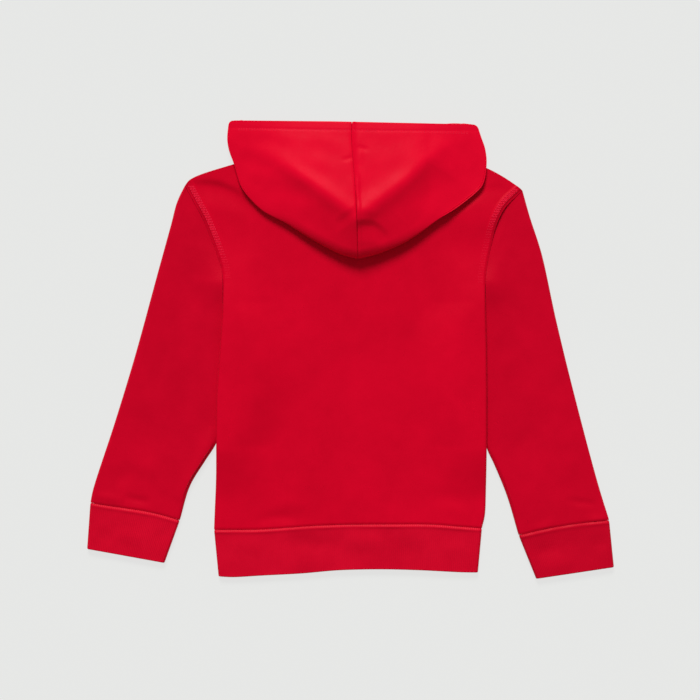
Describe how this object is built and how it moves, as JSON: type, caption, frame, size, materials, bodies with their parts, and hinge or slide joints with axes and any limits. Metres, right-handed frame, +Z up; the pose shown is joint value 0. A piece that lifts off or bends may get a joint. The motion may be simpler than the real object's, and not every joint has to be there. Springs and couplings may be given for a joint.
{
  "type": "kids hoodie",
  "caption": "Child's plain pullover hoodie laid flat with its back up: fleece body, set-in sleeves, ribbed cuffs and hem band, and a seamed hood drawn back over the shoulders.",
  "frame": {"origin": "centre of the outline's bounding box, on the surface that the hoodie lies on", "axes": "+X across the garment towards the wearer's right sleeve, +Y along the back from the hem towards the hood, +Z up from the surface through the back"},
  "size_m": [0.5798, 0.5042, 0.0378],
  "materials": {
    "red_fleece": "matte jersey face with a faint sheen",
    "red_rib": "matte fine rib knit"
  },
  "bodies": {
    "root": {"back_panel": "red_fleece", "front_panel": "red_fleece", "hem_band": "red_rib", "sleeve_left": "red_fleece", "cuff_left": "red_rib", "hood_left": "red_fleece", "sleeve_right": "red_fleece", "cuff_right": "red_rib", "hood_right": "red_fleece"}
  },
  "joints": []
}
